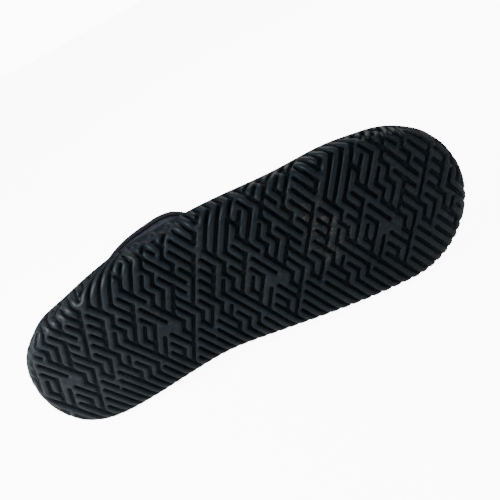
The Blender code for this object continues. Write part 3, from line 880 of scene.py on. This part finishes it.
# Knit facing: columns of small chevrons, with the gauge in columns for each metre
CHEVRON_RISE = 1.3                # how steeply the two legs of a chevron run
CHEVRON_GAP, COLUMN_GAP, LOOP_CREST = (0.03, 0.22), (0.5, 0.38), (-1.0, 0.7)
MELANGE_SCALE, MELANGE_DETAIL = 0.35, 3.0
knit_group, knit_in, knit_out = node_group("knit facing", {"Gauge": 1500.0}, ("Height", "Tone"))
scaled = add_node(knit_group, "ShaderNodeVectorMath", operation="SCALE")
plug(knit_group, scaled.inputs[0], knit_in.outputs["Vector"])
plug(knit_group, scaled.inputs["Scale"], knit_in.outputs["Gauge"])
split = add_node(knit_group, "ShaderNodeSeparateXYZ")
plug(knit_group, split.inputs[0], scaled.outputs[0])
column_part = math_node(knit_group, "SUBTRACT", math_node(knit_group, "FRACT", split.outputs["X"]), 0.5)
column_part = math_node(knit_group, "ABSOLUTE", column_part)
chevron = math_node(knit_group, "MULTIPLY", split.outputs["Y"], CHEVRON_RISE)
chevron = math_node(knit_group, "ADD", chevron, column_part)
wave = math_node(knit_group, "SINE", math_node(knit_group, "MULTIPLY", chevron, 2 * math.pi))
legs = math_node(knit_group, "MULTIPLY", mapped(knit_group, column_part, *CHEVRON_GAP),
                 mapped(knit_group, column_part, *COLUMN_GAP))
loop_height = math_node(knit_group, "MULTIPLY", mapped(knit_group, wave, *LOOP_CREST), legs)
plug(knit_group, knit_out.inputs["Height"], loop_height)
plug(knit_group, knit_out.inputs["Tone"],
     noise(knit_group, scaled.outputs[0], MELANGE_SCALE, MELANGE_DETAIL))

# Knit colours. The deep colour is painted shade between the loops, where the knit lies low.
CLOTH_DEEP_SHADE = (0.0026, 0.0028, 0.0048)
CLOTH_FACE = (0.0078, 0.0085, 0.0142)
CLOTH_FUZZ = (0.0122, 0.0131, 0.0200)
CLOTH_DUST = (0.12, 0.115, 0.11)
FUZZ_TONES = (0.35, 0.68)
CLOTH_ROUGHNESS, CLOTH_SHINE, CLOTH_TINT = 0.92, 0.25, (0.68, 0.76, 1.0)
CLOTH_SHEEN, CLOTH_SHEEN_ROUGHNESS = 0.1, 0.5
CLOTH_RELIEF = 0.00022


def cloth_grain(tree):
    """Where the shader finds the grain that is laid over a piece of cloth."""
    return add_node(tree, "ShaderNodeUVMap", uv_map="cloth").outputs["UV"]


cloth, tree, shader, place = finish("dark knit on neoprene")
knit = placed_group(tree, knit_group, Vector=cloth_grain(tree), Gauge=1450.0)
dust = placed_group(tree, dust_group, Vector=place, Patch=26.0, Speck=900.0, Amount=0.16)
face = mixed_colour(tree, mapped(tree, knit["Tone"], *FUZZ_TONES), CLOTH_FACE, CLOTH_FUZZ)
# Painted shade where the knit lies deep between its loops
face = mixed_colour(tree, knit["Height"], CLOTH_DEEP_SHADE, face)
dress(tree, shader, {
    "Base Color": mixed_colour(tree, dust["Mask"], face, CLOTH_DUST),
    "Roughness": CLOTH_ROUGHNESS,
    "Sheen Weight": CLOTH_SHEEN,
    "Sheen Roughness": CLOTH_SHEEN_ROUGHNESS,
    "Sheen Tint": CLOTH_TINT,
    "Specular IOR Level": CLOTH_SHINE,
    "Specular Tint": CLOTH_TINT,
    "Normal": relief(tree, knit["Height"], CLOTH_RELIEF),
})

lining_rows = np.unique(np.append(np.arange(0, len(upper_places), 2), len(upper_places) - 1))
lining = (worn_skin - upper_normals * NEOPRENE)[lining_rows]
upper_rings = np.concatenate([worn_skin, lining[::-1]])
upper = boot_piece("upper_neoprene", upper_rings.reshape(-1, 3),
                   stack_faces(len(upper_rings), UPPER_AROUND), cloth)
cloth_map(upper, upper_rings)
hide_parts("upper")

# Seam threads: black thread in a flat zigzag over the front seam and the vamp seam of the upper, sunk a
# little into the cloth.
# Each stitch is a short bowed length of thread.
THREAD_RADIUS = 0.34
THREAD_SIDES = 6
THREAD_SHARES = (0.0, 0.12, 0.32, 0.5, 0.68, 0.88, 1.0)
THREAD_TAPER = (0.35, 0.85, 1.0, 1.0, 1.0, 0.85, 0.35)
THREAD_BOW = 0.35
THREAD_LIFT = 0.6                 # how far its middle lies over the cloth, as a share of its radius
ZIGZAG_PITCH, ZIGZAG_HALF = 4.6, 2.3
# Thread colours: painted shade in the troughs of the twist and a painted highlight along its crests
THREAD_TWIST_SHADE, THREAD_TWIST_HIGHLIGHT = (0.004, 0.0045, 0.006), (0.018, 0.019, 0.023)
THREAD_ROUGHNESS, THREAD_TWIST, THREAD_RELIEF = 0.6, 900.0, 0.00008


def stitches(lines):
    """Vertices and faces of short lengths of thread, from their starts, their ends and the ways out."""
    points, faces = [], []
    for start, end, out in lines:
        run = end - start
        aside = unit(np.cross(out, run))
        faces.extend(stack_faces(len(THREAD_SHARES), THREAD_SIDES, len(points), capped=True))
        for share, taper in zip(THREAD_SHARES, THREAD_TAPER):
            middle = start + run * share + out * THREAD_BOW * math.sin(math.pi * share)
            for angle in turns(THREAD_SIDES):
                spoke = aside * math.cos(angle) + out * math.sin(angle)
                points.append(middle + spoke * THREAD_RADIUS * taper)
    return np.array(points), faces


def even_path(line, out, step):
    """Points of a line and its outward directions at even distances, and the direction across it."""
    run = run_along(line)
    places = np.arange(step / 2, run[-1], step)
    points, ways = at_places(places, run, line), at_places(places, run, out)
    return points, ways, unit(np.cross(ways, np.gradient(points, axis=0)))


def zigzag(path):
    """Stitches of a zigzag along a seam of the upper."""
    line, out = on_skin(path, worn_skin), on_skin(path, upper_normals)
    points, ways, across = even_path(line, out, ZIGZAG_PITCH / 2)
    sides = np.where(np.arange(len(points)) % 2 == 0, 1.0, -1.0)[:, None]
    corners = points + across * ZIGZAG_HALF * sides + ways * THREAD_RADIUS * THREAD_LIFT
    return list(zip(corners[:-1], corners[1:], ways[:-1]))


thread, tree, shader, place = finish("black thread")
twist = add_node(tree, "ShaderNodeTexWave", bands_direction="DIAGONAL")
plug(tree, twist.inputs["Scale"], THREAD_TWIST)
plug(tree, twist.inputs["Vector"], place)
# Painted highlight and shade along the twist, following its relief
dress(tree, shader, {
    "Base Color": mixed_colour(tree, twist.outputs["Fac"], THREAD_TWIST_SHADE, THREAD_TWIST_HIGHLIGHT),
    "Roughness": THREAD_ROUGHNESS,
    "Normal": relief(tree, twist.outputs["Fac"], THREAD_RELIEF),
})
seam_lines = [stitch for path in (FRONT_SEAM, VAMP_SEAM) for stitch in zigzag(path)]
seam_thread = boot_piece("upper_seam_thread", *stitches(seam_lines), thread)

# Glue line: a thin bead of pale cement squeezed out along the top of the rim, where the upper goes into the
# cup. It runs thick and thin, as it was left by hand.
BEAD_AROUND = 8
BEAD_LOW, BEAD_HIGH = 0.22, 0.8
BEAD_WAVES = ((7, 0.4), (17, 1.9), (31, 3.3), (53, 0.9), (89, 2.2))   # waves round the rim and their shifts
BEAD_FILL = 0.45
BEAD_INSET, BEAD_DROP = 0.1, 0.05   # from the inner face and the top of the rim to the bead's middle
CEMENT_THIN, CEMENT_THICK, CEMENT_TONES = (0.05, 0.052, 0.055), (0.42, 0.42, 0.4), (0.4, 0.6)
CEMENT_ROUGHNESS, CEMENT_RELIEF = 0.4, 0.0002
bead_wave = sum(np.sin(turns(EDGE_POINTS) * times + shift) for times, shift in BEAD_WAVES) / len(BEAD_WAVES)
bead_radius = BEAD_LOW + (BEAD_HIGH - BEAD_LOW) * soft_step(bead_wave + BEAD_FILL)
bead_xy = sole_edge - edge_normals * (RIM_WALL - BEAD_INSET)
bead_centre = over_face(bead_xy, rim_height(bead_xy[:, 0]) - BEAD_DROP)
bead_out = np.column_stack([edge_normals, np.zeros(EDGE_POINTS)])
bead_rings = []
for angle in turns(BEAD_AROUND):
    spoke = bead_out * math.cos(angle) + np.array((0.0, 0.0, math.sin(angle)))
    bead_rings.append(bead_centre + spoke * bead_radius[:, None])

cement, tree, shader, place = finish("pale cement")
grain = placed_group(tree, grain_group, Vector=place, Grain=2200.0, Cloud=110.0)
dress(tree, shader, {
    "Base Color": mixed_colour(tree, mapped(tree, grain["Tone"], *CEMENT_TONES), CEMENT_THIN, CEMENT_THICK),
    "Roughness": CEMENT_ROUGHNESS,
    "Normal": relief(tree, grain["Height"], CEMENT_RELIEF),
})
glue_line = boot_piece("glue_line", np.vstack(bead_rings), stack_faces(BEAD_AROUND, EDGE_POINTS), cement)

# Insole: a thin foam footbed faced with dark cloth, laid loose on the floor of the outsole inside the upper.
# It is a little hollow and stands up slightly round its edge.
INSOLE_THICKNESS = 4.0
INSOLE_CLEAR = 0.5
INSOLE_EDGE = RIM_WALL + GAP + NEOPRENE + GAP + INSOLE_CLEAR
INSOLE_POINTS = 320
INSOLE_SPINE = (45.0, 250.0)      # ends of the middle line that the rows close in on
INSOLE_ROUND, INSOLE_ROUND_STEPS = 1.2, 9
INSOLE_DISH, INSOLE_DISH_EASE = 0.9, 0.25   # depth of the hollow, and how far from the edge it is reached
UNDER_SHARES = (0.02, 0.5, 1.0)   # rows of the underside and of the top, from the middle line to the edge
TOP_SHARES = (1.0, 0.97, 0.93, 0.86, 0.75, 0.6, 0.45, 0.3, 0.15, 0.02)
FOAM_DARK, FOAM_LIGHT, FOAM_TONES = (0.024, 0.025, 0.028), (0.05, 0.051, 0.055), (0.3, 0.7)
FOAM_ROUGHNESS, FOAM_RELIEF = 0.88, 0.0004


def insole_mesh():
    """Rings of the insole from the middle of its underside to the middle of its top."""
    edge = evenly(sole_outline(OUTLINE_STEPS), INSOLE_POINTS)
    edge = edge - outward(edge) * INSOLE_EDGE
    normals = outward(edge)
    flat_edge = edge - normals * INSOLE_ROUND
    spine_x = np.clip(edge[:, 0], *INSOLE_SPINE)
    spine = np.column_stack([spine_x, outline_centre(spine_x)])
    low = FLOOR_THICKNESS + GAP
    rows = [(spine + (flat_edge - spine) * share, low) for share in UNDER_SHARES]
    for angle in np.linspace(-math.pi / 2, math.pi / 2, INSOLE_ROUND_STEPS)[1:-1]:
        bulge = edge - normals * INSOLE_ROUND * (1 - math.cos(angle))
        rows.append((bulge, low + INSOLE_THICKNESS / 2 * (1 + math.sin(angle))))
    for share in TOP_SHARES:
        dish = INSOLE_DISH * soft_step(1 - share, 0, INSOLE_DISH_EASE)
        rows.append((spine + (flat_edge - spine) * share, low + INSOLE_THICKNESS - dish))
    return np.array([over_face(xy, height) for xy, height in rows])


foam, tree, shader, place = finish("dark foam footbed")
grain = placed_group(tree, grain_group, Vector=place, Grain=1900.0, Cloud=60.0)
dress(tree, shader, {
    "Base Color": mixed_colour(tree, mapped(tree, grain["Tone"], *FOAM_TONES), FOAM_DARK, FOAM_LIGHT),
    "Roughness": FOAM_ROUGHNESS,
    "Normal": relief(tree, grain["Height"], FOAM_RELIEF),
})
insole_rings = insole_mesh()
insole = boot_piece("insole_footbed", insole_rings.reshape(-1, 3),
                    stack_faces(len(insole_rings), INSOLE_POINTS, capped=True), foam)
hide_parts("insole")

# Collar binding: a strip of stretch tape folded over the raw edge of the collar and sewn through near its
# lower edge. It puckers a little between the stitches.
BINDING_THICKNESS = 1.3
BINDING_DEPTH = 10.0
BINDING_ROWS = 9
FOLD_STEPS = 9
BINDING_PUCKER = 0.16
STITCH_PITCH, STITCH_LENGTH = 3.4, 2.5
STITCH_HEIGHT = 7.6               # under the top of the collar
TAPE_ROUGHNESS, TAPE_RELIEF = 0.8, 0.00018
ROW_BELOW = 0.1                   # one more ring under the tape gives the wall's slope there
collar_top, collar_below = skin_rings(np.array((COLLAR_RING, COLLAR_RING - 1)))
collar_step = np.linalg.norm(collar_top - collar_below, axis=1).mean()
collar_places = COLLAR_RING - np.linspace(BINDING_DEPTH, 0, BINDING_ROWS) / collar_step
collar_rings = skin_rings(collar_places)
collar_out = skin_normals(skin_rings(np.append(collar_places[0] - ROW_BELOW, collar_places)))[1:]
collar_up = unit(collar_rings[-1] - collar_rings[-2])
pucker_run = np.cumsum(np.linalg.norm(np.roll(collar_rings[-1], -1, axis=0) - collar_rings[-1], axis=1))
pucker = BINDING_PUCKER * np.cos(math.pi * pucker_run / STITCH_PITCH)[None, :, None]
pucker = pucker * np.sin(np.linspace(0, math.pi, BINDING_ROWS))[:, None, None]
near, far = GAP, GAP + BINDING_THICKNESS
outer_face = collar_rings + collar_out * (far + pucker)
lining_face = collar_rings - collar_out * (NEOPRENE + far + pucker)
fold = []
for angle in np.linspace(0, math.pi, FOLD_STEPS)[1:-1]:
    reach = (NEOPRENE / 2 + far) * math.cos(angle) - NEOPRENE / 2
    fold.append(collar_rings[-1] + collar_out[-1] * reach + collar_up * far * math.sin(angle))
inner_wall = [collar_rings[row] - collar_out[row] * (NEOPRENE + near) for row in (0, BINDING_ROWS // 2, -1)]
inner_top = [collar_rings[-1] + collar_out[-1] * reach + collar_up * near
             for reach in (-NEOPRENE - near, near)]
outer_wall = [collar_rings[row] + collar_out[row] * near for row in (-1, BINDING_ROWS // 2, 0)]
binding_rings = np.array([*outer_face, *fold, *lining_face[::-1], *inner_wall, *inner_top, *outer_wall])

tape, tree, shader, place = finish("black stretch tape")
knit = placed_group(tree, knit_group, Vector=cloth_grain(tree), Gauge=2100.0)
dust = placed_group(tree, dust_group, Vector=place, Patch=60.0, Speck=900.0, Amount=0.15)
# Painted shade where the tape's knit lies deep between its loops
face = mixed_colour(tree, knit["Height"], CLOTH_DEEP_SHADE, CLOTH_FACE)
dress(tree, shader, {
    "Base Color": mixed_colour(tree, dust["Mask"], face, CLOTH_DUST),
    "Roughness": TAPE_ROUGHNESS,
    "Specular IOR Level": CLOTH_SHINE,
    "Specular Tint": CLOTH_TINT,
    "Normal": relief(tree, knit["Height"], TAPE_RELIEF),
})
binding = boot_piece("collar_tape", binding_rings.reshape(-1, 3),
                     stack_faces(len(binding_rings), UPPER_AROUND), tape)
cloth_map(binding, binding_rings)
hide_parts("collar_binding")

# Collar threads: one row of plain stitches through the binding, on the outside and on the lining side.
# They are of the same black thread as the seams.
stitch_row = int(round((BINDING_DEPTH - STITCH_HEIGHT) / BINDING_DEPTH * (BINDING_ROWS - 1)))
collar_lines = []
for face_ring, way in ((outer_face[stitch_row], 1.0), (lining_face[stitch_row], -1.0)):
    line = np.vstack([face_ring, face_ring[:1]])
    out = np.vstack([collar_out[stitch_row], collar_out[stitch_row][:1]]) * way
    points, ways, across = even_path(line, out, STITCH_PITCH)
    half_stitch = np.cross(across, ways) * STITCH_LENGTH / 2
    collar_lines.extend(zip(points - half_stitch, points + half_stitch, ways))
collar_thread = boot_piece("collar_thread", *stitches(collar_lines), thread)

# Floor, light and camera: a plain pale floor under a wide soft light from the upper left, and the camera
# where the photograph was taken from, close to the sole and rolled to the left.
FLOOR_HALF = 8.0
FLOOR_COLOUR, FLOOR_ROUGHNESS, FLOOR_GLOW = (0.9, 0.9, 0.9), 0.8, 11.0
STUDIO_COLOUR, STUDIO_LIGHT, STUDIO_GLOW = (1.0, 1.0, 1.0), 0.19, 11.6
# Name, place, aim, size and power of each lamp
LAMPS = (
    ("key_light", (-0.62, -0.34, 0.8), (-0.08, 0.0, 0.05), 0.45, 4.2),
    ("heel_light", (-0.42, -0.2, 0.32), (-0.13, 0.0, 0.06), 0.24, 4.0),
    ("toe_light", (0.42, -0.3, 0.42), (0.13, 0.0, 0.06), 0.25, 0.8),
    ("back_light", (0.25, 0.75, 0.65), (0.0, 0.02, 0.05), 0.8, 6.0),
)
floor_mesh = bpy.data.meshes.new("pale_floor")
floor_mesh.from_pydata([(-FLOOR_HALF, -FLOOR_HALF, 0), (FLOOR_HALF, -FLOOR_HALF, 0),
                        (FLOOR_HALF, FLOOR_HALF, 0), (-FLOOR_HALF, FLOOR_HALF, 0)], [], [(0, 1, 2, 3)])
pale, tree, shader, place = finish("pale floor")
seen = tree.nodes.new("ShaderNodeLightPath").outputs["Is Camera Ray"]
dress(tree, shader, {
    "Base Color": FLOOR_COLOUR,
    "Roughness": FLOOR_ROUGHNESS,
    "Emission Color": FLOOR_COLOUR,
    "Emission Strength": math_node(tree, "MULTIPLY", seen, FLOOR_GLOW),
})
floor_mesh.materials.append(pale)
floor = bpy.data.objects.new("pale_floor", floor_mesh)
bpy.context.scene.collection.objects.link(floor)

studio = bpy.data.worlds.new("studio")
studio.use_nodes = True
tree = studio.node_tree
seen = tree.nodes.new("ShaderNodeLightPath").outputs["Is Camera Ray"]
dress(tree, tree.nodes["Background"], {
    "Color": STUDIO_COLOUR,
    "Strength": mapped(tree, seen, 0.0, 1.0, STUDIO_LIGHT, STUDIO_GLOW),
})
bpy.context.scene.world = studio


def soft_light(name, place, aim, size, power):
    """A square soft box, turned to what it lights."""
    lamp = bpy.data.lights.new(name, "AREA")
    lamp.size = size
    lamp.energy = power
    box = bpy.data.objects.new(name, lamp)
    box.location = place
    box.rotation_euler = (Vector(aim) - Vector(place)).to_track_quat("-Z", "Y").to_euler()
    bpy.context.scene.collection.objects.link(box)


for lamp in LAMPS:
    soft_light(*lamp)

CAMERA_PLACE = (49.86, -304.41, 219.19)
CAMERA_RIGHT = np.array((0.89713, -0.13462, -0.42083))
CAMERA_FORWARD = np.array((-0.10977, 0.85472, -0.50737))
CAMERA_LENS, CAMERA_SENSOR, CAMERA_NEAR = 35.147, 36.0, 0.01
camera_up = np.cross(CAMERA_RIGHT, CAMERA_FORWARD)
lens = bpy.data.cameras.new("camera")
lens.lens = CAMERA_LENS
lens.sensor_width = CAMERA_SENSOR
lens.clip_start = CAMERA_NEAR
camera = bpy.data.objects.new("camera", lens)
turned = Matrix(np.column_stack([CAMERA_RIGHT, camera_up, -CAMERA_FORWARD]).tolist()).to_4x4()
camera.matrix_world = Matrix.Translation([MM * c for c in CAMERA_PLACE]) @ turned
bpy.context.scene.collection.objects.link(camera)
bpy.context.scene.camera = camera
